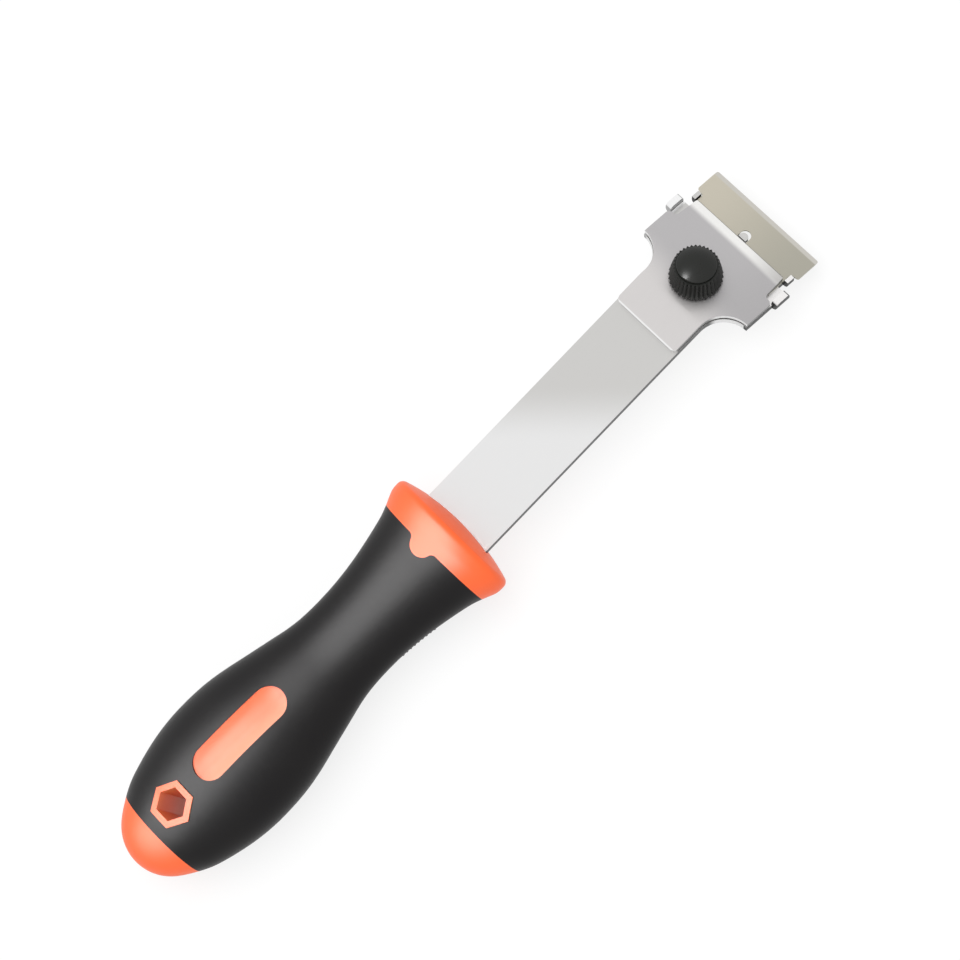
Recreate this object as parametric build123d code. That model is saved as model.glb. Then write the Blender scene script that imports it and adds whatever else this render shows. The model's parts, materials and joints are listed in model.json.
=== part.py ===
from build123d import *
import os
from math import cos, radians, sin, sqrt, tan

# A hand scraper with a two-colour moulded handle, a cranked steel shank and a clamped blade.
# The tool is drawn with its butt end at y = 0, its blade towards +Y, and z = 0 at the middle of
# the shank's thickness. The last step moves it onto the surface that it rests on.

# The whole tool
overall_length = 242.0
crank_angle_degrees = 16.0

# Handle: widths across X, depths along Z, places along Y from the butt end
handle_length = 126.3
handle_drop = 1.98
belly_width = 41.3
belly_depth = 28.3
belly_at = 37.5
waist_width = 26.8
waist_at = 84.5
collar_width = 40.6
collar_rim_radius = 2.0
crown_radius = 66.0
butt_crown_width = 12.6
butt_crown_depth = 1.5
butt_curve_shares = [(0.115, 0.49), (0.247, 0.663), (0.405, 0.807), (0.616, 0.92)]
taper_curve_shares = [(0.243, 0.108), (0.455, 0.408), (0.666, 0.734)]
flare_curve_shares = [(0.385, 0.157), (0.657, 0.437), (0.792, 0.628), (0.902, 0.872)]

# Parting of the two plastics
butt_parting_at = 10.6
collar_length = 10.95
skin_thickness = 2.6
lobe_width = 7.2
lobe_reach = 3.55
lobe_root_radius = 1.8

# Hanging hole and the hexagonal ring round it
hang_hole_flats = 7.9
ring_wall = 1.62
ring_proud = 0.4
ring_butt_gap = 3.63

# Pill on the belly, a hollowed window to the hard plastic
pill_ring_gap = 4.8
pill_length = 31.5
pill_width = 9.7
pill_depth = 1.15
pill_hollow_radius = 15.0

# Shank strip and the tang that the handle is moulded on
strip_thickness = 1.9
strip_bend_radius = 6.0
shank_width = 22.4
tang_width = 14.0
tang_ring_gap = 9.05
tang_shoulder_cover = 10.0
tang_corner_radius = 3.0
tang_shoulder_radius = 1.5
tang_hole_radius = 3.0
tang_hole_place_shares = [0.30, 0.65]
pocket_gap = 0.3
pocket_depth = 1.0

# Clamp plate, with places along the head measured forward from the bend
throat_start = 0.6
plate_thickness = 1.2
plate_tail_inset = 0.2
plate_tail_reach = 9.4
plate_tail_radius = 1.5
plate_foot_length = 1.2
plate_wing_end_at = 18.1
plate_wing_radius = 1.2
plate_nose_over_blade = 0.2
plate_nose_taper = 0.6
plate_nose_radius = 1.0
plate_front_round = 0.8

# Jaw, with its ears, hooks and locating tab
ear_outer_margin = 2.0
ear_plate_gap = 0.3
ear_length = 4.8
ear_height = 2.25
ear_outreach = 1.6
ear_corner_radius = 1.2
ear_shoulder_gap = 0.1
jaw_corner_radius = 0.8
jaw_nose_length = 3.9
jaw_nose_over_plate = 1.3
fold_inner_radius = 0.3
hook_setback = 1.8
hook_thickness = 1.2
hook_blade_gap = 0.3
hook_shoulder_gap = 0.2
hook_over_blade = 0.8
tab_side_gap = 0.3
tab_front_gap = 1.0
tab_plate_gap = 0.4
tab_over_blade = 0.2

# Blade
blade_width = 38.0
blade_length = 19.0
blade_thickness = 0.4
blade_overhang = 8.95
blade_shoulder_width = 2.4
blade_shoulder_depth = 8.15
blade_shoulder_fall = 0.5
blade_corner_radius = 0.6
blade_notch_width = 3.2
blade_notch_length = 12.05
blade_bevel = 1.2

# Clamp screw, nut and washer on one axis
screw_at = 9.05
screw_diameter = 5.0
screw_head_flats = 8.0
screw_head_height = 3.5
screw_end_beyond_nut = 1.0
screw_end_chamfer = 0.5
plate_hole_play = 0.6
nut_running_gap = 0.05
nut_pilot_wall = 0.8
nut_pilot_height = 1.5
nut_flange_rim = 1.2
nut_flange_height = 2.2
nut_edge_chamfer = 0.3
washer_diameter = 12.0
washer_hole_play = 0.3
washer_thickness = 0.8

# Knob
knob_base_wall = 2.78
knob_head_floor = 1.2
knob_head_cover = 1.2
knob_skirt_taper = 1.1
knob_rib_count = 34
knob_rib_depth = 0.55
knob_neck_depth = 0.4
knob_neck_height = 0.3
knob_dome_inset = 0.9
knob_dome_rim_height = 0.5
knob_dome_height = 1.8
knob_dome_edge_radius = 0.4

# Cuts run past what they cut by this much
overrun = 1.0

# The lowest point is found on facets this close to the surfaces
resting_tolerance = 0.02

# Heights above the jaw's middle, and the bend's turn
crank = radians(crank_angle_degrees)
strip_top = strip_thickness / 2
strip_bottom = -strip_top
blade_top = strip_top + blade_thickness
plate_top = blade_top + plate_thickness
washer_top = plate_top + washer_thickness
nut_bottom = strip_bottom - nut_flange_height
edge_height = strip_top + blade_thickness / 2

# Places along the head, from the plate's wings forward to the cutting edge
ear_start = plate_wing_end_at + ear_plate_gap
jaw_shoulder_at = ear_start + ear_length + ear_shoulder_gap
jaw_nose_at = jaw_shoulder_at + jaw_nose_length
plate_nose_at = jaw_nose_at - jaw_nose_over_plate
blade_reach = jaw_nose_at + blade_overhang
blade_back_at = blade_reach - blade_length
blade_shoulder_at = blade_reach - blade_shoulder_depth
blade_notch_end_at = blade_back_at + blade_notch_length
tab_start = plate_nose_at + tab_plate_gap
tab_front = blade_notch_end_at - tab_front_gap
hook_start = jaw_nose_at - hook_setback
hook_end = blade_shoulder_at - hook_shoulder_gap
bend_at = overall_length - blade_reach * cos(crank) - edge_height * sin(crank)

# Places along the handle
collar_parting_at = handle_length - collar_length
ring_flats = hang_hole_flats + 2 * ring_wall
hang_hole_at = butt_parting_at + ring_butt_gap + ring_flats / 2
pill_start = hang_hole_at + ring_flats / 2 + pill_ring_gap
tang_end_at = hang_hole_at + ring_flats / 2 + tang_ring_gap
tang_shoulder_at = handle_length - tang_shoulder_cover
handle_flatness_share = belly_depth / belly_width

# Widths that follow one another
head_width = blade_width + 2 * ear_outer_margin
jaw_width = head_width - 2 * ear_outreach
plate_tail_width = shank_width - 2 * plate_tail_inset
blade_body_width = blade_width - 2 * blade_shoulder_width
plate_nose_root_width = blade_body_width + 2 * plate_nose_over_blade
plate_nose_width = plate_nose_root_width - 2 * plate_nose_taper
tab_width = blade_notch_width - 2 * tab_side_gap
plate_hole_diameter = screw_diameter + plate_hole_play
washer_hole_diameter = screw_diameter + washer_hole_play
nut_pilot_diameter = screw_diameter + 2 * nut_pilot_wall
nut_flange_diameter = nut_pilot_diameter + 2 * nut_flange_rim
knob_base_radius = screw_head_flats / sqrt(3) + knob_base_wall
knob_skirt_height = knob_head_floor + screw_head_height + knob_head_cover
knob_skirt_top_radius = knob_base_radius - knob_skirt_taper
knob_dome_radius = knob_skirt_top_radius - knob_dome_inset
knob_neck_radius = knob_dome_radius - knob_neck_depth

head_plane = Plane(
    origin=(0, bend_at, 0), x_dir=(1, 0, 0), z_dir=(0, sin(crank), cos(crank))
)


def head_spot(forward, height):
    """A point of the head in the side view, from its place along the head and above the jaw's middle."""
    return (
        bend_at + forward * cos(crank) + height * sin(crank),
        height * cos(crank) - forward * sin(crank),
    )


def mirrored(half):
    """A half outline or body on the +X side, joined with its twin on the -X side."""
    return half + mirror(half, Plane.YZ)


def both_faces(top_half):
    """A body on the handle's upper face, joined with its twin on the lower face."""
    return top_half + mirror(top_half, Plane.XY)


# Handle: drawn round, as from a lathe, and then pressed to an oval section


def side_curve(start, end, shares):
    """A smooth run of the handle's side between two places (half-width, place) where it is straight."""
    points = [start]
    for along, out in shares:
        half_width = start[0] + (end[0] - start[0]) * out
        points.append((half_width, start[1] + (end[1] - start[1]) * along))
    return Spline(*points, end, tangents=[(0, 1), (0, 1)])


def lathe_outline():
    """Half of the handle's plan, from its axis out to its skin."""
    belly = (belly_width / 2, belly_at)
    waist = (waist_width / 2, waist_at)
    collar_side = collar_width / 2
    crown_fall = crown_radius - sqrt(crown_radius**2 - collar_side**2)
    corner = (collar_side, handle_length - crown_fall)
    collar = (collar_side, corner[1] - collar_rim_radius)
    butt = (0, 0)
    nose = (0, handle_length)
    butt_crown = TangentArc(butt, (butt_crown_width / 2, butt_crown_depth), tangent=(1, 0))
    butt_points = [butt_crown @ 1]
    butt_points += [(belly[0] * out, belly[1] * along) for along, out in butt_curve_shares]
    face = make_face(
        [
            butt_crown,
            Spline(*butt_points, belly, tangents=[butt_crown % 1, (0, 1)]),
            side_curve(belly, waist, taper_curve_shares),
            side_curve(waist, collar, flare_curve_shares),
            Line(collar, corner),
            TangentArc(nose, corner, tangent=(1, 0)),
            Line(nose, butt),
        ]
    )
    rim = face.vertices().sort_by_distance(corner)[0]
    return fillet(rim, collar_rim_radius)


def slab(start, end):
    """A block across the whole handle between two places along it."""
    side = belly_width + collar_width
    return Pos(0, (start + end) / 2, 0) * Box(side, end - start, side)


def upper_prism(outline):
    """A prism through the upper half of the handle."""
    return extrude(outline, belly_width)


def collar_window():
    """The collar's plan, with the round-ended lobe that runs back from it."""
    tip_radius = lobe_width / 2
    length = handle_length - collar_parting_at + overrun
    band = Pos(0, collar_parting_at + length / 2) * Rectangle(collar_width + overrun, length)
    lobe = Pos(0, collar_parting_at - lobe_reach + tip_radius) * Circle(tip_radius)
    outline = band + lobe
    roots = outline.vertices().sort_by(lambda v: abs(v.X) + abs(v.Y - collar_parting_at))[:2]
    return fillet(roots, lobe_root_radius)


def pill_outline():
    """The pill's plan, a slot along the handle."""
    place = Pos(0, pill_start + pill_length / 2) * Rot(0, 0, 90)
    return place * SlotOverall(pill_length, pill_width)


def pill_hollow(outline):
    """The space above the pill's floor: it follows the belly along the tool and is hollow across it."""
    depth = pill_depth / handle_flatness_share
    axis_height = belly_width / 2 - depth + pill_hollow_radius
    length = pill_length + 2 * overrun
    window = Pos(axis_height / 2, pill_start + pill_length / 2) * Rectangle(axis_height, length)
    floor = Pos(-depth, 0) * outline
    turned = revolve(window - floor, Axis((axis_height, 0, 0), (0, 1, 0)))
    return Rot(0, -90, 0) * turned


def hexagon(flats):
    """A hexagon with two flats square to the tool's length."""
    return RegularPolygon(flats / 2, 6, major_radius=False)


def make_handle(shank):
    """The hard core with all that it shows, and the soft grip moulded round it."""
    outline = lathe_outline()
    skin = revolve(outline, Axis.Y)
    core_share = (belly_width - 2 * skin_thickness) / belly_width
    core_form = revolve(scale(outline, by=(core_share, 1, 1)), Axis.Y)
    inner = core_form & slab(butt_parting_at, collar_parting_at)
    butt_slab = slab(-overrun, butt_parting_at)
    collar_prism = extrude(collar_window(), belly_width, both=True)
    pill_prism = upper_prism(pill_outline())
    ring_spot = Pos(0, hang_hole_at)
    ring_prism = upper_prism(ring_spot * hexagon(ring_flats))
    ring_lift = Pos(0, 0, ring_proud / handle_flatness_share)
    pill = both_faces((skin & pill_prism) - pill_hollow(outline))
    ring = both_faces((ring_lift * skin) & ring_prism)
    core = inner + (skin & butt_slab) + (skin & collar_prism) + pill + ring
    core -= both_faces(upper_prism(ring_spot * hexagon(hang_hole_flats)))
    grip = skin - butt_slab - collar_prism - inner - both_faces(pill_prism) - both_faces(ring_prism)
    press = (1, 1, handle_flatness_share)
    drop = Pos(0, 0, -handle_drop)
    core = drop * scale(core, by=press)
    grip = drop * scale(grip, by=press)
    crown_fall = crown_radius - sqrt(crown_radius**2 - (shank_width / 2) ** 2)
    pocket = Pos(0, handle_length, 0) * Box(
        shank_width + 2 * pocket_gap,
        2 * (crown_fall + pocket_depth),
        strip_thickness + 2 * pocket_gap,
    )
    return core - pocket - shank, grip


# Shank, jaw and clamp plate, all bent from strip


def bent_strip(low, high, back, front, foot_length=0, front_round=0):
    """A wide strip that follows the crank, between two heights above the jaw's middle.

    A foot reaches down to the shank under the strip's back end.
    """
    bend_share = tan(crank / 2)
    low_corner = (bend_at + low * bend_share, low)
    high_corner = (bend_at + high * bend_share, high)
    heel = [(back, low)]
    if foot_length:
        heel = [(back, strip_top), (back + foot_length, strip_top), (back + foot_length, low)]
    front_low = head_spot(front, low)
    front_high = head_spot(front, high)
    line = Polyline(*heel, low_corner, front_low, front_high, high_corner, (back, high), close=True)
    side = make_face(line)
    rounds = [(low_corner, strip_bend_radius + low), (high_corner, strip_bend_radius + high)]
    if front_round:
        rounds.append((front_high, front_round))
    for corner, radius in rounds:
        side = fillet(side.vertices().sort_by_distance(corner)[0], radius)
    return extrude(Plane.YZ * side, head_width, both=True)


def plan_prism(outline):
    """A prism through the shank's whole depth, from a plan drawn flat."""
    return extrude(outline, head_width, both=True)


def head_prism(outline):
    """A prism through the head's whole depth, from a plan drawn on the jaw."""
    return extrude(head_plane * outline, head_width, both=True)


def throat(neck, wing):
    """The hollow quarter rounds, in half, where the neck widens to the wing."""
    radius = wing - neck
    neck_spot = (neck, throat_start)
    wing_spot = (wing, throat_start + radius)
    bulge = radius * sqrt(0.5)
    middle = (wing - bulge, throat_start + bulge)
    return [Line((neck, -overrun), neck_spot), ThreePointArc(neck_spot, middle, wing_spot)]


def head_outline(neck_width, wing_width, front_points):
    """Half of a T-shaped head plan, from neck to nose, joined with its twin."""
    neck = neck_width / 2
    wing = wing_width / 2
    edges = throat(neck, wing)
    start = (wing, throat_start + wing - neck)
    nose = (0, front_points[-1][1])
    edges.append(Polyline(start, *front_points, nose, (0, -overrun), (neck, -overrun)))
    return mirrored(make_face(edges))


def rounded(outline, corner, radius):
    """The outline with one of its corners, and that corner's twin, rounded."""
    for spot in (corner, (-corner[0], corner[1])):
        outline = fillet(outline.vertices().sort_by_distance(spot)[0], radius)
    return outline


def folded_lug(root, outer, thickness, top, start, length):
    """A lug on the +X side that runs out from the jaw and turns up beside it."""
    inner = outer - thickness
    section = make_face(
        Polyline(
            (root, strip_bottom),
            (outer, strip_bottom),
            (outer, top),
            (inner, top),
            (inner, strip_top),
            (root, strip_top),
            close=True,
        )
    )
    section = fillet(section.vertices().sort_by_distance((inner, strip_top))[0], fold_inner_radius)
    outer_radius = fold_inner_radius + thickness
    section = fillet(section.vertices().sort_by_distance((outer, strip_bottom))[0], outer_radius)
    origin = head_plane.from_local_coords((0, start, 0))
    across = Plane(origin=origin, x_dir=(1, 0, 0), z_dir=-head_plane.y_dir)
    return extrude(across * section, -length)


def top_corners(lug, height):
    """The two short edges that end a lug's crest."""
    short = [edge for edge in lug.edges().filter_by(Axis.X)]
    return [
        edge
        for edge in short
        if head_plane.to_local_coords(edge.center()).Z > height - fold_inner_radius
    ]


def make_shank():
    """Tang, shank, crank and jaw in one strip, with the jaw's ears, hooks and locating tab."""
    tang = tang_width / 2
    neck = shank_width / 2
    half = make_face(
        Polyline(
            (0, tang_end_at),
            (tang, tang_end_at),
            (tang, tang_shoulder_at),
            (neck, tang_shoulder_at),
            (neck, bend_at + overrun),
            (0, bend_at + overrun),
            close=True,
        )
    )
    plan = mirrored(half)
    plan = rounded(plan, (tang, tang_end_at), tang_corner_radius)
    plan = rounded(plan, (tang, tang_shoulder_at), tang_shoulder_radius)
    plan = rounded(plan, (neck, tang_shoulder_at), tang_shoulder_radius)
    for share in tang_hole_place_shares:
        place = tang_end_at + (tang_shoulder_at - tang_end_at) * share
        plan -= Pos(0, place) * Circle(tang_hole_radius)
    wing = jaw_width / 2
    nose = blade_body_width / 2
    front_points = [(wing, jaw_shoulder_at), (nose, jaw_shoulder_at), (nose, jaw_nose_at)]
    head = head_outline(shank_width, jaw_width, front_points)
    head = rounded(head, (wing, jaw_shoulder_at), jaw_corner_radius)
    head -= Pos(0, screw_at) * Circle(nut_pilot_diameter / 2)
    strip = bent_strip(strip_bottom, strip_top, tang_end_at, jaw_nose_at + overrun)
    body = (strip & plan_prism(plan)) + (strip & head_prism(head))
    ear_top = strip_top + ear_height
    ear = folded_lug(nose, head_width / 2, strip_thickness, ear_top, ear_start, ear_length)
    ear = fillet(top_corners(ear, ear_top), ear_corner_radius)
    hook_root = nose - hook_thickness
    hook_outer = nose + hook_blade_gap + hook_thickness
    hook_top = blade_top + hook_over_blade
    hook_length = hook_end - hook_start
    hook = folded_lug(hook_root, hook_outer, hook_thickness, hook_top, hook_start, hook_length)
    tip = tab_width / 2
    tab_length = tab_front - tab_start
    tab_plan = Pos(0, tab_front - tip) * Circle(tip)
    tab_plan += Pos(0, tab_start) * Rectangle(tab_width, 2 * (tab_length - tip))
    tab_plan &= Pos(0, tab_start + tab_length / 2) * Rectangle(tab_width, tab_length)
    tab_bottom = head_plane.offset(strip_bottom)
    tab = extrude(tab_bottom * tab_plan, blade_top + tab_over_blade - strip_bottom)
    return body + mirrored(ear) + mirrored(hook) + tab


def make_clamp_plate():
    """The upper plate: it follows the crank, rests its foot on the shank and holds the blade down."""
    tail = plate_tail_width / 2
    wing = jaw_width / 2
    back = bend_at - plate_tail_reach
    tail_length = plate_tail_reach + overrun
    plan = Pos(0, back + tail_length / 2) * Rectangle(plate_tail_width, tail_length)
    plan = rounded(plan, (tail, back), plate_tail_radius)
    root = plate_nose_root_width / 2
    nose = plate_nose_width / 2
    front_points = [(wing, plate_wing_end_at), (root, plate_wing_end_at), (nose, plate_nose_at)]
    head = head_outline(plate_tail_width, jaw_width, front_points)
    head = rounded(head, (wing, plate_wing_end_at), plate_wing_radius)
    head = rounded(head, (root, plate_wing_end_at), plate_wing_radius)
    head = rounded(head, (nose, plate_nose_at), plate_nose_radius)
    hole = Pos(0, screw_at) * Circle(plate_hole_diameter / 2)
    strip = bent_strip(
        blade_top, plate_top, back, plate_nose_at, plate_foot_length, plate_front_round
    )
    return (strip & plan_prism(plan)) + (strip & head_prism(head - hole))


def make_blade():
    """A single-edge blade, with a round-ended notch that is open behind."""
    edge = blade_width / 2
    body = blade_body_width / 2
    notch = blade_notch_width / 2
    back = blade_back_at
    shoulder_out = blade_shoulder_at + blade_shoulder_fall
    half = make_face(
        Polyline(
            (0, back),
            (body, back),
            (body, blade_shoulder_at),
            (edge, shoulder_out),
            (edge, blade_reach),
            (0, blade_reach),
            close=True,
        )
    )
    plan = mirrored(half)
    for corner in ((body, back), (edge, shoulder_out), (edge, blade_reach)):
        plan = rounded(plan, corner, blade_corner_radius)
    notch_length = blade_notch_end_at - notch - back + overrun
    plan -= Pos(0, back - overrun + notch_length / 2) * Rectangle(blade_notch_width, notch_length)
    plan -= Pos(0, blade_notch_end_at - notch) * Circle(notch)
    bevel_start = blade_reach - blade_bevel
    section = make_face(
        Polyline(
            head_spot(back, strip_top),
            head_spot(bevel_start, strip_top),
            head_spot(blade_reach, edge_height),
            head_spot(bevel_start, blade_top),
            head_spot(back, blade_top),
            close=True,
        )
    )
    return extrude(Plane.YZ * section, blade_width, both=True) & head_prism(plan)


# Clamp screw and the pieces on its axis


def screw_plane(height):
    """A plane across the screw's axis, at a height above the jaw's middle."""
    origin = head_plane.from_local_coords((0, screw_at, height))
    return Plane(origin=origin, x_dir=(1, 0, 0), z_dir=head_plane.z_dir)


def make_clinch_nut():
    """A round nut: its pilot is pressed into the jaw and its flange bears under it."""
    flange = extrude(screw_plane(nut_bottom) * Circle(nut_flange_diameter / 2), nut_flange_height)
    low_rim = flange.edges().sort_by(Axis.Z)[0]
    flange = chamfer(low_rim, nut_edge_chamfer)
    pilot = extrude(screw_plane(strip_bottom) * Circle(nut_pilot_diameter / 2), nut_pilot_height)
    bore_radius = screw_diameter / 2 + nut_running_gap
    depth = nut_flange_height + nut_pilot_height
    bore = extrude(screw_plane(nut_bottom) * Circle(bore_radius), depth)
    return flange + pilot - bore


def make_knob_washer():
    """The flat washer between knob and plate."""
    ring = Circle(washer_diameter / 2) - Circle(washer_hole_diameter / 2)
    return extrude(screw_plane(plate_top) * ring, washer_thickness)


def make_clamp_screw():
    """The screw, whose hexagonal head is moulded into the knob."""
    head_bottom = washer_top + knob_head_floor
    end = nut_bottom - screw_end_beyond_nut
    stud = extrude(screw_plane(end) * Circle(screw_diameter / 2), head_bottom - end)
    end_rim = stud.edges().sort_by(Axis.Z)[0]
    stud = chamfer(end_rim, screw_end_chamfer)
    head = extrude(screw_plane(head_bottom) * hexagon(screw_head_flats), screw_head_height)
    return stud + head


def ribbed_outline(radius):
    """A ring of ribs: their crests lie on the radius and their valleys inside it."""
    points = []
    for index in range(2 * knob_rib_count):
        reach = radius - knob_rib_depth * (index % 2)
        points.append(Vector(reach, 0).rotate(Axis.Z, 180 * index / knob_rib_count))
    return make_face(Polyline(*points, close=True))


def make_knob(screw):
    """A tapered skirt of ribs under a smooth dome, moulded round the screw's head."""
    low_ribs = ribbed_outline(knob_base_radius)
    high_ribs = Pos(0, 0, knob_skirt_height) * ribbed_outline(knob_skirt_top_radius)
    skirt = loft([low_ribs, high_ribs], ruled=True)
    neck_top = knob_skirt_height + knob_neck_height
    rim_top = neck_top + knob_dome_rim_height
    dome_top = rim_top + knob_dome_height
    cap = make_face(
        [
            Polyline(
                (knob_dome_radius, rim_top),
                (knob_dome_radius, neck_top),
                (knob_neck_radius, neck_top),
                (knob_neck_radius, knob_skirt_height),
                (0, knob_skirt_height),
                (0, dome_top),
            ),
            TangentArc((0, dome_top), (knob_dome_radius, rim_top), tangent=(1, 0)),
        ]
    )
    cap_rim = cap.vertices().sort_by_distance((knob_dome_radius, rim_top))[0]
    cap = fillet(cap_rim, knob_dome_edge_radius)
    dome = revolve(Plane.XZ * cap, Axis.Z)
    return screw_plane(washer_top).location * (skirt + dome) - screw


shank = make_shank()
handle_core, grip_overmould = make_handle(shank)
clamp_screw = make_clamp_screw()
nodes = {
    "handle_core": handle_core,
    "grip_overmould": grip_overmould,
    "shank": shank,
    "clinch_nut": make_clinch_nut(),
    "clamp_plate": make_clamp_plate(),
    "blade": make_blade(),
    "knob_washer": make_knob_washer(),
    "clamp_screw": clamp_screw,
    "knob": make_knob(clamp_screw),
}

# The tool lies on its handle: the middle of its length is over the origin.
lowest = min(point.Z for node in nodes.values() for point in node.tessellate(resting_tolerance)[0])
place = Pos(0, -overall_length / 2, -lowest)
os.makedirs("parts", exist_ok=True)
for name, node in nodes.items():
    export_step(place * node, f"parts/{name}.step")
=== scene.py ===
import json
from math import cos, pi, radians, sin, sqrt

import bpy
from mathutils import Matrix, Vector
from mathutils.bvhtree import BVHTree


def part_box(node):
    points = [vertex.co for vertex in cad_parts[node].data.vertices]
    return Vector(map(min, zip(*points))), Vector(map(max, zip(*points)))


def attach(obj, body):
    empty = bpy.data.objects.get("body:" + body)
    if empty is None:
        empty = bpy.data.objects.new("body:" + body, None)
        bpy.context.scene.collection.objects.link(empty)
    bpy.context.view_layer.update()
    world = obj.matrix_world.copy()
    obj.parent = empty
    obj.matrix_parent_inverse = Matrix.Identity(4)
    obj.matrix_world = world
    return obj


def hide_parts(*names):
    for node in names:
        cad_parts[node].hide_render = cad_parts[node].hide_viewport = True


# The row frame is in metres: X across the tool, +Y from the butt end to the blade, +Z up.
# The tool lies on z = 0, and +X is its right side in the photograph.
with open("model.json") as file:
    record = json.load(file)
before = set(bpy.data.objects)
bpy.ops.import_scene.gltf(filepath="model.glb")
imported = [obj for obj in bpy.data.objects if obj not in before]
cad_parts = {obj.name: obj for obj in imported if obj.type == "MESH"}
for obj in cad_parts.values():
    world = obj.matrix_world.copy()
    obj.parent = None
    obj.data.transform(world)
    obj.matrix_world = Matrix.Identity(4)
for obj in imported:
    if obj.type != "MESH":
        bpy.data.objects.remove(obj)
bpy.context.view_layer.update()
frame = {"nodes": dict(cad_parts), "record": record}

MM = 0.001
ALONG = (0.0, 1.0, 0.0)
RIGHTWARD = (1.0, 0.0, 0.0)
LEFTWARD = (-1.0, 0.0, 0.0)

# The camera's place, axes and lens
CAMERA_AT = (0.239322, 0.039672, 0.780978)
CAMERA_RIGHT = (0.6804, 0.6933, -0.2373)
CAMERA_UP = (-0.6672, 0.7200, 0.1907)
CAMERA_BACK = (0.3031, 0.0286, 0.9525)
SENSOR_MM = 36.0
LENS_MM = 112.93
CLIP_START = 10.0 * MM

# The surround, how strongly it lights, and the floor, with the share of plain white that shows in it
WHITE = (1.0, 1.0, 1.0, 1.0)
AMBIENT = 0.75
FLOOR_COLOUR = (0.9, 0.9, 0.9, 1.0)
FLOOR_GLOW = 0.8
FLOOR_SIZE = 6.0
FLOOR_UNDER_TOOL = 0.2 * MM

# The range that a noise texture mostly keeps to
NOISE_LOW = 0.3
NOISE_HIGH = 0.7

# A face counts as upright as the size of its normal's Z falls, and as looking rearward as its normal's Y
# falls: each from and to
UPRIGHT = (0.75, 0.45)
REARWARD = (-0.2, -0.5)

# The pill in the handle and the hollow for the thumb in it
PILL_FROM = -90.83 * MM
PILL_TO = -59.33 * MM
PILL_HALF = 4.85 * MM
PILL_OVER_AXIS = 10.8 * MM
DISH_DEEPER = 0.5 * MM
# How far the pill's painted highlight fades out past its ends
PILL_HIGHLIGHT_FADE = 1.0 * MM

# The hexagonal hole, and how far the painted light on its walls fades out past it
HOLE_FROM = -107.0 * MM
HOLE_TO = PILL_FROM - 2.0 * MM
HOLE_HALF = 5.6 * MM
HOLE_END_FADE = 1.0 * MM
HOLE_SIDE_FADE = 0.6 * MM

# Where the shank's painted light and shade change, from and to: a painted reflection, paler towards the
# handle along a slanting line, a painted highlight at the jaw's right rim, painted shade on the corner
# hooks, and painted light on the ears
SHANK_SLANT = (-0.926, 1.0, 0.0)
SHANK_PAINTED_REFLECTION = (56.0 * MM, 34.0 * MM)
JAW_RIM_HIGHLIGHT = (15.0 * MM, 15.6 * MM)
HOOKS_PAINTED_SHADE = (107.6 * MM, 108.0 * MM)
EARS_PAINTED_LIGHT = (18.2 * MM, 18.6 * MM)

# Where the clamp plate's painted highlights and shade change, from and to
PLATE_TAIL_HIGHLIGHT = (77.1 * MM, 76.8 * MM)
PLATE_WINGS_SHADE = (86.8 * MM, 97.5 * MM)
PLATE_FRONT_HIGHLIGHT = (108.0 * MM, 109.7 * MM)
WINGS_SHADE_TO_RIGHT = (0.0, 20.0 * MM)
FRONT_SHADE_TO_RIGHT = (2.0 * MM, 22.0 * MM)

# Where the blade's colour changes, from and to: painted shade towards its right side, and its paler bevel
BLADE_SHADE_TO_RIGHT = (-18.0 * MM, 18.0 * MM)
BLADE_BEVEL = (119.6 * MM, 120.0 * MM)

# The handle's sides between the butt end and the belly. The pill, ring and hole lie within FEATURES_HALF of
# the middle, and past SIDES_HALF the section scales as a whole.
FAIR_FROM = -103.0 * MM
FAIR_TO = -83.5 * MM
SLOPE_STEP = 1.0 * MM
FEATURES_HALF = 10.0 * MM
SIDES_HALF = 16.0 * MM

# Further from the handle's axis than any of its surface, where rays towards it start
OUTSIDE = 100.0 * MM

# Ribs on the sides of the grip's waist
RIB_COUNT = 9
RIB_FIRST_Y = -31.0 * MM
RIB_PITCH = 1.35 * MM
RIB_RADIUS = 0.42 * MM
RIB_SUNK = 0.14 * MM
RIB_FROM = radians(-1)
RIB_TO = radians(-40)
RIB_FULLNESS = 0.4
RIB_STEPS = 24
RIB_SIDES = 10


def make_camera():
    """A long lens well above the tool, as the photograph was taken."""
    data = bpy.data.cameras.new("camera")
    data.sensor_width = SENSOR_MM
    data.lens = LENS_MM
    data.clip_start = CLIP_START
    camera = bpy.data.objects.new("camera", data)
    axes = Matrix((CAMERA_RIGHT, CAMERA_UP, CAMERA_BACK)).transposed()
    camera.matrix_world = Matrix.Translation(CAMERA_AT) @ axes.to_4x4()
    bpy.context.scene.collection.objects.link(camera)
    bpy.context.scene.camera = camera


# World and floor


def seen_directly(nodes, links):
    """One where the camera, a gloss or a clear material sees the surface, and nought elsewhere."""
    path = nodes.new("ShaderNodeLightPath")
    seen = path.outputs["Is Camera Ray"]
    for ray in ("Is Glossy Ray", "Is Transmission Ray"):
        total = nodes.new("ShaderNodeMath")
        total.operation = "ADD"
        total.use_clamp = True
        links.new(seen, total.inputs[0])
        links.new(path.outputs[ray], total.inputs[1])
        seen = total.outputs[0]
    return seen


def make_world():
    """A white surround that lights softly."""
    world = bpy.data.worlds.new("studio")
    bpy.context.scene.world = world
    world.use_nodes = True
    nodes = world.node_tree.nodes
    links = world.node_tree.links
    background = nodes["Background"]
    background.inputs["Color"].default_value = WHITE
    strength = nodes.new("ShaderNodeMapRange")
    strength.inputs["To Min"].default_value = AMBIENT
    strength.inputs["To Max"].default_value = 1.0
    links.new(seen_directly(nodes, links), strength.inputs["Value"])
    links.new(strength.outputs["Result"], background.inputs["Strength"])


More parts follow.
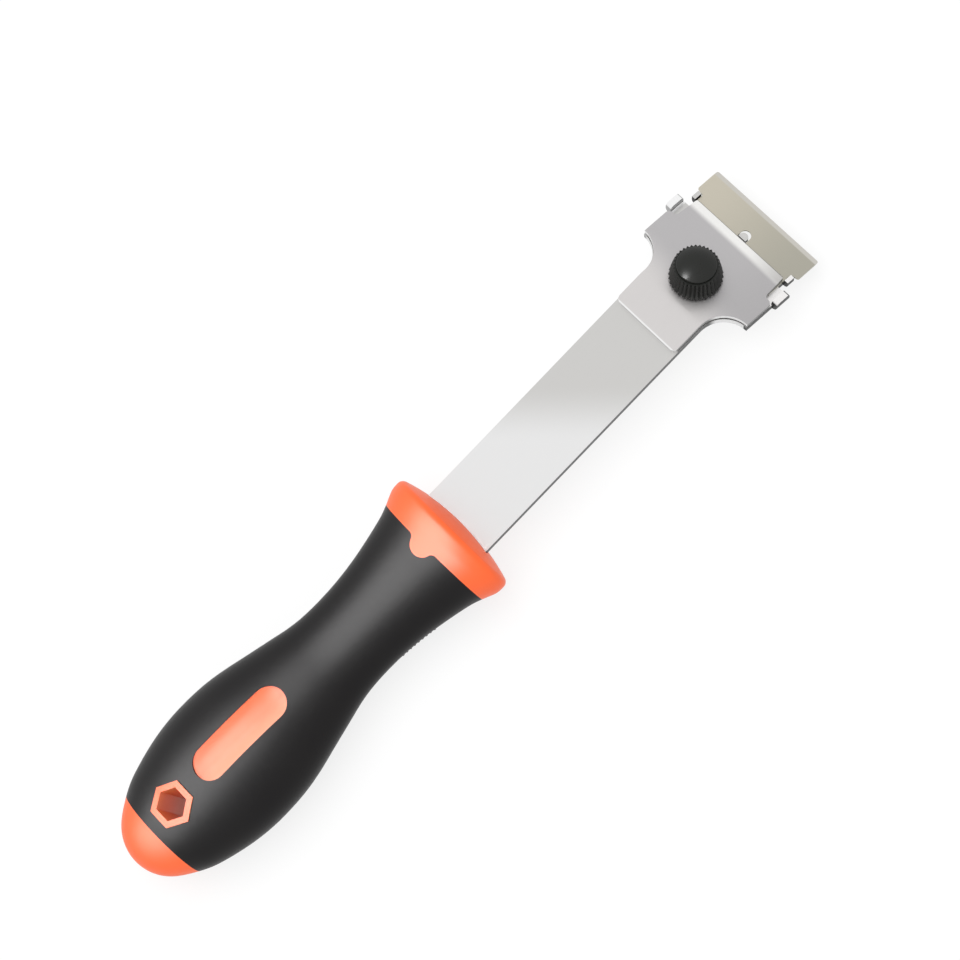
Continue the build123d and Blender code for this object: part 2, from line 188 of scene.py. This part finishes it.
def make_floor():
    """A plain white table that keeps a faint shadow of the tool."""
    material = bpy.data.materials.new("floor")
    material.use_nodes = True
    nodes = material.node_tree.nodes
    links = material.node_tree.links
    nodes.clear()
    paper = nodes.new("ShaderNodeBsdfDiffuse")
    paper.inputs["Color"].default_value = FLOOR_COLOUR
    glow = nodes.new("ShaderNodeEmission")
    glow.inputs["Color"].default_value = WHITE
    share = nodes.new("ShaderNodeMath")
    share.operation = "MULTIPLY"
    share.inputs[1].default_value = FLOOR_GLOW
    links.new(seen_directly(nodes, links), share.inputs[0])
    mix = nodes.new("ShaderNodeMixShader")
    links.new(share.outputs[0], mix.inputs["Fac"])
    links.new(paper.outputs[0], mix.inputs[1])
    links.new(glow.outputs[0], mix.inputs[2])
    output = nodes.new("ShaderNodeOutputMaterial")
    links.new(mix.outputs[0], output.inputs["Surface"])
    bpy.ops.mesh.primitive_plane_add(size=FLOOR_SIZE, location=(0, 0, -FLOOR_UNDER_TOOL))
    floor = bpy.context.object
    floor.name = "floor"
    floor.data.materials.append(material)


# Lamps


def area_lamp(name, place, aim, size, power):
    """A rectangular lamp that looks at a point, with its width along X. Metres and watts."""
    data = bpy.data.lights.new(name, "AREA")
    data.shape = "RECTANGLE"
    data.size, data.size_y = size
    data.energy = power
    lamp = bpy.data.objects.new(name, data)
    back = (Vector(place) - Vector(aim)).normalized()
    right = Vector(ALONG).cross(back).normalized()
    axes = Matrix((right, back.cross(right), back)).transposed()
    lamp.matrix_world = Matrix.Translation(place) @ axes.to_4x4()
    bpy.context.scene.collection.objects.link(lamp)
    return lamp


def soft_light(name, place, aim, size, power):
    """A broad lamp that brings light and shadow, and no gloss."""
    lamp = area_lamp(name, place, aim, size, power)
    lamp.visible_glossy = False


def gloss_light(name, pieces, place, aim, size, power):
    """A lamp that shows only in the gloss of some pieces."""
    lamp = area_lamp(name, place, aim, size, power)
    lamp.visible_diffuse = False
    lit = bpy.data.collections.new(name)
    for piece in pieces:
        lit.objects.link(piece)
    lamp.light_linking.receiver_collection = lit


def light_tool(skin, core, knob):
    """One soft lamp over the tool, and a lamp for each of the photograph's highlights."""
    soft_light("key", place=(-0.1, -0.05, 1.0), aim=(0, 0, 0.01), size=(0.9, 0.9), power=7.0)
    # The long highlight on the grip and the orange pieces
    gloss_light("strip", (skin, core),
                place=(-0.27, -0.45, 0.92), aim=(0, -0.05, 0.02), size=(1.0, 1.5), power=57.0)
    # The collar's highlight, on its right
    gloss_light("collar", (core,),
                place=(0.26, -0.62, 0.78), aim=(0, 0, 0.02), size=(0.42, 0.3), power=7.0)
    # The knob's ribbed side, and the spot on its dome
    gloss_light("low", (knob,),
                place=(-0.18, -0.80, 0.57), aim=(0, 0, 0.01), size=(0.16, 0.16), power=2.5)
    gloss_light("spark", (knob,),
                place=(-0.17, -0.34, 0.89), aim=(0, 0.1, 0.02), size=(0.16, 0.16), power=6.0)


# Materials


def linear(code):
    """A colour written as it shows on a screen, as the shader takes it."""
    channels = [int(code[start:start + 2], 16) / 255 for start in (1, 3, 5)]
    parts = [c / 12.92 if c <= 0.04045 else ((c + 0.055) / 1.055) ** 2.4 for c in channels]
    return (*parts, 1.0)


class Shader:
    """A node material with one Principled shader, built up a feature at a time."""

    def __init__(self, name, colour, roughness, metallic=0.0, specular=0.5):
        self.material = bpy.data.materials.new(name)
        self.material.use_nodes = True
        self.nodes = self.material.node_tree.nodes
        self.links = self.material.node_tree.links
        self.surface = self.nodes["Principled BSDF"]
        self.colour = linear(colour)
        self.surface.inputs["Base Color"].default_value = self.colour
        self.surface.inputs["Roughness"].default_value = roughness
        self.surface.inputs["Metallic"].default_value = metallic
        self.surface.inputs["Specular IOR Level"].default_value = specular
        coordinates = self.nodes.new("ShaderNodeTexCoord")
        self.place = coordinates.outputs["Object"]
        self.facing = coordinates.outputs["Normal"]

    def noise(self, scale, detail, stretch=(1, 1, 1)):
        """Noise in the piece's own space, in features to the metre.

        A stretch below one on an axis draws the features out along it.
        """
        mapping = self.nodes.new("ShaderNodeMapping")
        mapping.inputs["Scale"].default_value = stretch
        self.links.new(self.place, mapping.inputs["Vector"])
        noise = self.nodes.new("ShaderNodeTexNoise")
        noise.inputs["Scale"].default_value = scale
        noise.inputs["Detail"].default_value = detail
        self.links.new(mapping.outputs["Vector"], noise.inputs["Vector"])
        return noise.outputs["Fac"]

    def spread(self, noise, low, high):
        """Maps a noise to a range."""
        node = self.nodes.new("ShaderNodeMapRange")
        node.inputs["From Min"].default_value = NOISE_LOW
        node.inputs["From Max"].default_value = NOISE_HIGH
        node.inputs["To Min"].default_value = low
        node.inputs["To Max"].default_value = high
        self.links.new(noise, node.inputs["Value"])
        return node.outputs["Result"]

    def ramp(self, value, start, end):
        """A smooth step from nought at the start to one at the end, which may be the lower of the two."""
        ramp = self.nodes.new("ShaderNodeMapRange")
        ramp.interpolation_type = "SMOOTHSTEP"
        ramp.inputs["From Min"].default_value = start
        ramp.inputs["From Max"].default_value = end
        self.links.new(value, ramp.inputs["Value"])
        return ramp.outputs["Result"]

    def across(self, direction, start, end):
        """Nought up to one distance along a direction and one past the other, in metres."""
        dot = self.nodes.new("ShaderNodeVectorMath")
        dot.operation = "DOT_PRODUCT"
        dot.inputs[1].default_value = direction
        self.links.new(self.place, dot.inputs[0])
        return self.ramp(dot.outputs["Value"], start, end)

    def between(self, direction, low, high, fade):
        """One from the low to the high distance along a direction, and nought past the fade outside them."""
        past_low = self.across(direction, low - fade, low)
        before_high = self.across(direction, high + fade, high)
        return self.combine(past_low, before_high)

    def combine(self, first, second):
        """The product of two shares."""
        node = self.nodes.new("ShaderNodeMath")
        node.operation = "MULTIPLY"
        node.use_clamp = True
        self.links.new(first, node.inputs[0])
        self.links.new(second, node.inputs[1])
        return node.outputs[0]

    def normal_part(self, axis):
        """How far the normal leans along an axis."""
        split = self.nodes.new("ShaderNodeSeparateXYZ")
        self.links.new(self.facing, split.inputs["Vector"])
        return split.outputs[axis]

    def upright(self):
        """One on faces that stand upright, such as the sheared edges of a flat strip."""
        size = self.nodes.new("ShaderNodeMath")
        size.operation = "ABSOLUTE"
        self.links.new(self.normal_part("Z"), size.inputs[0])
        return self.ramp(size.outputs[0], *UPRIGHT)

    def rearward(self):
        """One on faces that look towards the butt end."""
        return self.ramp(self.normal_part("Y"), *REARWARD)

    def tint(self, share, colour):
        """Blends the base colour towards another one by a share of it."""
        mix = self.nodes.new("ShaderNodeMix")
        mix.data_type = "RGBA"
        base = self.surface.inputs["Base Color"]
        if base.is_linked:
            self.links.new(base.links[0].from_socket, mix.inputs["A"])
        else:
            mix.inputs["A"].default_value = self.colour
        mix.inputs["B"].default_value = linear(colour)
        self.links.new(share, mix.inputs["Factor"])
        self.links.new(mix.outputs["Result"], base)

    def rough(self, noise, low, high):
        """Varies the roughness between two values."""
        self.links.new(self.spread(noise, low, high), self.surface.inputs["Roughness"])

    def bump(self, value, depth, strength):
        """Adds relief of a depth in metres."""
        bump = self.nodes.new("ShaderNodeBump")
        bump.inputs["Distance"].default_value = depth
        bump.inputs["Strength"].default_value = strength
        self.links.new(value, bump.inputs["Height"])
        self.links.new(bump.outputs["Normal"], self.surface.inputs["Normal"])


def handle_plastic():
    """Satin orange polypropylene with the fine grain of its mould, a painted highlight on the pill's right
    half and painted light on the hole's walls.
    """
    shader = Shader("handle_plastic", "#F36027", roughness=0.5, specular=0.36)
    shader.tint(shader.spread(shader.noise(scale=60, detail=2), low=0.0, high=0.2), "#F86D36")
    # Painted highlight: the right half of the pill is tinted a paler orange
    pill = shader.between(ALONG, PILL_FROM, PILL_TO, PILL_HIGHLIGHT_FADE)
    pill_painted_highlight = shader.across(RIGHTWARD, 0.0, PILL_HALF)
    shader.tint(shader.combine(pill, pill_painted_highlight), "#F79C7C")
    # Painted light: the upright walls of the hexagonal hole are tinted a paler, less saturated orange
    hole = shader.combine(shader.between(ALONG, HOLE_FROM, HOLE_TO, HOLE_END_FADE),
                          shader.between(RIGHTWARD, -HOLE_HALF, HOLE_HALF, HOLE_SIDE_FADE))
    shader.tint(shader.combine(hole, shader.upright()), "#F0905C")
    shader.rough(shader.noise(scale=900, detail=2), low=0.38, high=0.46)
    shader.bump(shader.noise(scale=5000, detail=2), depth=0.01 * MM, strength=0.4)
    return shader.material


def grip_rubber():
    """Soft black rubber, matt, with a fine spark-eroded grain."""
    shader = Shader("grip_rubber", "#0E0C0D", roughness=0.40, specular=0.17)
    shader.tint(shader.spread(shader.noise(scale=80, detail=3), low=0.0, high=0.5), "#141212")
    shader.rough(shader.noise(scale=1500, detail=2), low=0.37, high=0.44)
    shader.bump(shader.noise(scale=3500, detail=3), depth=0.02 * MM, strength=0.5)
    return shader.material


def rolled_steel(name, colour, roughness, lines):
    """Plated strip with faint rolling lines along the tool, so many to the metre."""
    shader = Shader(name, colour, roughness, metallic=1.0)
    streaks = shader.noise(scale=lines, detail=3, stretch=(1.0, 0.02, 1.0))
    shader.rough(streaks, low=roughness - 0.05, high=roughness + 0.06)
    shader.bump(streaks, depth=0.004 * MM, strength=0.3)
    return shader


def shank_steel():
    """Bright strip with a painted reflection paler towards the handle, painted shade on its sheared edges,
    hooks and ears, and painted highlights on its rear-facing edges, jaw rim and left ear.
    """
    shader = rolled_steel("shank_steel", "#CFCECC", roughness=0.38, lines=9000)
    # Painted reflection: the shank is tinted paler towards the handle, along a slanting line
    shader.tint(shader.across(SHANK_SLANT, *SHANK_PAINTED_REFLECTION), "#E8E8E8")
    # Painted highlight along the jaw's right rim
    shader.tint(shader.across(RIGHTWARD, *JAW_RIM_HIGHLIGHT), "#F2F0EF")
    edges = shader.upright()
    # Painted shade: the upright sheared edges are tinted dark grey
    shader.tint(edges, "#5A5A5A")
    # Painted highlight on the sheared edges that face the butt end
    shader.tint(shader.combine(edges, shader.rearward()), "#E2E2E2")
    # Painted shade, nearly black, on the walls of the corner hooks
    shader.tint(shader.combine(edges, shader.across(ALONG, *HOOKS_PAINTED_SHADE)), "#2C2C2C")
    # Painted shade on the walls of the right ear
    shader.tint(shader.combine(edges, shader.across(RIGHTWARD, *EARS_PAINTED_LIGHT)), "#3C3C3C")
    # Painted highlight on the left ear, with painted mid-grey shade on its walls
    left_ear_painted_light = shader.across(LEFTWARD, *EARS_PAINTED_LIGHT)
    shader.tint(left_ear_painted_light, "#F4F4F4")
    shader.tint(shader.combine(edges, left_ear_painted_light), "#A8A8A8")
    return shader.material


def plate_steel():
    """The clamp plate, with painted shade over its wings and sheared edges, and painted highlights along its
    tail, front and rear-facing edges.
    """
    shader = rolled_steel("plate_steel", "#D7D4D3", roughness=0.42, lines=7000)
    # Painted shade: the plate is greyer over its wings, and greyer still on the right wing
    wings = shader.across(ALONG, *PLATE_WINGS_SHADE)
    shader.tint(wings, "#BCBABB")
    shader.tint(shader.combine(wings, shader.across(RIGHTWARD, *WINGS_SHADE_TO_RIGHT)), "#B4B2B3")
    # Painted highlight along the plate's front, with painted shade at its right end
    front = shader.across(ALONG, *PLATE_FRONT_HIGHLIGHT)
    shader.tint(front, "#F2F1EF")
    shader.tint(shader.combine(front, shader.across(RIGHTWARD, *FRONT_SHADE_TO_RIGHT)), "#B6B4B2")
    # Painted highlight: the plate's tail is tinted near white
    shader.tint(shader.across(ALONG, *PLATE_TAIL_HIGHLIGHT), "#F4F4F4")
    edges = shader.upright()
    # Painted shade on the upright sheared edges, and a painted highlight on those that face the butt end
    shader.tint(edges, "#8C8C8C")
    shader.tint(shader.combine(edges, shader.rearward()), "#E6E6E6")
    return shader.material


def zinc_steel():
    """Small plated fasteners."""
    return rolled_steel("zinc_steel", "#C9CACA", roughness=0.35, lines=4000).material


def blade_steel():
    """A blade ground lengthwise, with a warm film of oil, a paler bevel, and painted shade towards its right
    side.
    """
    shader = Shader("blade_steel", "#C9C3B4", roughness=0.4, metallic=1.0)
    grind = shader.noise(scale=12000, detail=2, stretch=(0.03, 1.0, 1.0))
    shader.rough(grind, low=0.34, high=0.44)
    shader.bump(grind, depth=0.003 * MM, strength=0.3)
    # Painted shade: the blade is darker towards its right side
    shader.tint(shader.across(RIGHTWARD, *BLADE_SHADE_TO_RIGHT), "#AFACA0")
    shader.tint(shader.across(ALONG, *BLADE_BEVEL), "#CBC8C1")
    return shader.material


def knob_plastic():
    """Dark plastic with a dull polish."""
    shader = Shader("knob_plastic", "#1C1D1B", roughness=0.32, specular=0.25)
    shader.rough(shader.noise(scale=700, detail=2), low=0.26, high=0.36)
    return shader.material


def dress_nodes():
    """Gives every CAD node its finish."""
    finishes = {
        "handle_plastic": handle_plastic(),
        "grip_rubber": grip_rubber(),
        "shank_steel": shank_steel(),
        "plate_steel": plate_steel(),
        "zinc_steel": zinc_steel(),
        "blade_steel": blade_steel(),
        "knob_plastic": knob_plastic(),
    }
    for entry in frame["record"]["subparts"]:
        node = frame["nodes"][entry["node"]]
        node.data.materials.clear()
        node.data.materials.append(finishes[entry["material_slot"]])


# The handle's fair sides


def smooth(share):
    """A smooth step from nought to one."""
    share = min(max(share, 0), 1)
    return share * share * (3 - 2 * share)


def surface_tree(piece):
    """A ray-cast tree of a piece's faces."""
    mesh = piece.data
    points = [vertex.co.copy() for vertex in mesh.vertices]
    return BVHTree.FromPolygons(points, [tuple(face.vertices) for face in mesh.polygons])


def half_width(tree, y, axis_z):
    """How far the handle's side lies from the middle plane, at its widest line."""
    return tree.ray_cast(Vector((OUTSIDE, y, axis_z)), Vector(LEFTWARD))[0].x


def fair_width(tree, y, axis_z):
    """The half-width on one smooth curve from the butt end's slope to the belly's widest point."""
    start = half_width(tree, FAIR_FROM, axis_z)
    end = half_width(tree, FAIR_TO, axis_z)
    slope = (start - half_width(tree, FAIR_FROM - SLOPE_STEP, axis_z)) / SLOPE_STEP
    length = FAIR_TO - FAIR_FROM
    way = (y - FAIR_FROM) / length
    return start + (end - start) * smooth(way) + slope * length * way * (1 - way) ** 2


def on_fair_section(place, old, new, axis_z):
    """Where a point of the elliptical section goes when its half-width changes from old to new.

    Near the middle it keeps its x and takes its height from the new ellipse, so the pill, ring and hole keep
    their outlines. At the sides the section scales as a whole.
    """
    x, y, z = place
    outward = smooth((abs(x) - FEATURES_HALF) / (SIDES_HALF - FEATURES_HALF))
    new_x = x * (1 + outward * (new / old - 1))
    scale = new / old
    if outward < 1:
        scale = sqrt(new ** 2 - new_x ** 2) / sqrt(old ** 2 - x ** 2)
    return new_x, y, axis_z + (z - axis_z) * scale


def faired(node, name, tree, axis_z):
    """A copy of a handle node, with its material, that follows the fair width between butt and belly."""
    mesh = frame["nodes"][node].data.copy()
    for vertex in mesh.vertices:
        y = vertex.co.y
        if FAIR_FROM < y < FAIR_TO:
            old = half_width(tree, y, axis_z)
            new = fair_width(tree, y, axis_z)
            vertex.co = on_fair_section(vertex.co, old, new, axis_z)
    piece = bpy.data.objects.new(name, mesh)
    bpy.context.scene.collection.objects.link(piece)
    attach(piece, "handle")
    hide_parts(node)
    return piece


def deepen_dish(core, axis_z):
    """A deeper hollow in the pill, above and below, that leaves its outline where it is."""
    for vertex in core.data.vertices:
        x, y, z = vertex.co
        past_straight = max(PILL_FROM + PILL_HALF - y, y - PILL_TO + PILL_HALF, 0)
        share = 1 - (x ** 2 + past_straight ** 2) / PILL_HALF ** 2
        if share > 0 and abs(z - axis_z) > PILL_OVER_AXIS:
            inward = -1 if z > axis_z else 1
            vertex.co.z = z + inward * DISH_DEEPER * share


def fair_handle():
    """The two handle mouldings on a fair outline: the skin and the core under it."""
    low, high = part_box("grip_overmould")
    axis_z = (low[2] + high[2]) / 2
    tree = surface_tree(frame["nodes"]["grip_overmould"])
    skin = faired("grip_overmould", "grip_skin", tree, axis_z)
    core = faired("handle_core", "core_moulding", tree, axis_z)
    deepen_dish(core, axis_z)
    return skin, core


# Grip ribs


def rib_path(tree, side, y):
    """Points and outward normals on the grip's side, from its widest line down."""
    top = tree.ray_cast(Vector((0, y, OUTSIDE)), Vector((0, 0, -1)))[0]
    bottom = tree.ray_cast(Vector((0, y, -OUTSIDE)), Vector((0, 0, 1)))[0]
    middle = (top + bottom) / 2
    path = []
    for step in range(RIB_STEPS + 1):
        angle = RIB_FROM + (RIB_TO - RIB_FROM) * step / RIB_STEPS
        outward = Vector((side * cos(angle), 0, sin(angle)))
        point, normal, _, _ = tree.ray_cast(middle + outward * OUTSIDE, -outward)
        path.append((point, normal if normal.dot(outward) > 0 else -normal))
    return path


def rib_mesh(path):
    """A half-sunk bead along a path, that fades into the surface at both ends."""
    along = Vector(ALONG)
    points = []
    faces = []
    for step, (place, normal) in enumerate(path):
        swell = sin(pi * step / RIB_STEPS) ** RIB_FULLNESS
        centre = place - normal * (RIB_SUNK + RIB_RADIUS * (1 - swell))
        for corner in range(RIB_SIDES):
            turn = 2 * pi * corner / RIB_SIDES
            points.append(centre + (normal * cos(turn) + along * sin(turn)) * RIB_RADIUS)
    for step in range(RIB_STEPS):
        for corner in range(RIB_SIDES):
            near = step * RIB_SIDES
            far = near + RIB_SIDES
            after = (corner + 1) % RIB_SIDES
            faces.append((near + corner, near + after, far + after, far + corner))
    faces.append(tuple(range(RIB_SIDES)))
    faces.append(tuple(reversed(range(RIB_STEPS * RIB_SIDES, (RIB_STEPS + 1) * RIB_SIDES))))
    return points, faces


def grip_ribs(skin):
    """Short fine ribs under the thumb and the fingers, on both sides of the waist."""
    tree = surface_tree(skin)
    points = []
    faces = []
    for side in (-1, 1):
        for number in range(RIB_COUNT):
            rib_points, rib_faces = rib_mesh(rib_path(tree, side, RIB_FIRST_Y + number * RIB_PITCH))
            start = len(points)
            points += rib_points
            faces += [tuple(start + corner for corner in face) for face in rib_faces]
    mesh = bpy.data.meshes.new("grip_ribs")
    mesh.from_pydata(points, [], faces)
    mesh.shade_smooth()
    ribs = bpy.data.objects.new("grip_ribs", mesh)
    ribs.data.materials.append(bpy.data.materials["grip_rubber"])
    bpy.context.scene.collection.objects.link(ribs)
    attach(ribs, "handle")


make_camera()
make_world()
make_floor()
dress_nodes()
skin, core = fair_handle()
grip_ribs(skin)
light_tool(skin, core, frame["nodes"]["knob"])

bpy.context.scene.view_settings.view_transform = "Standard"
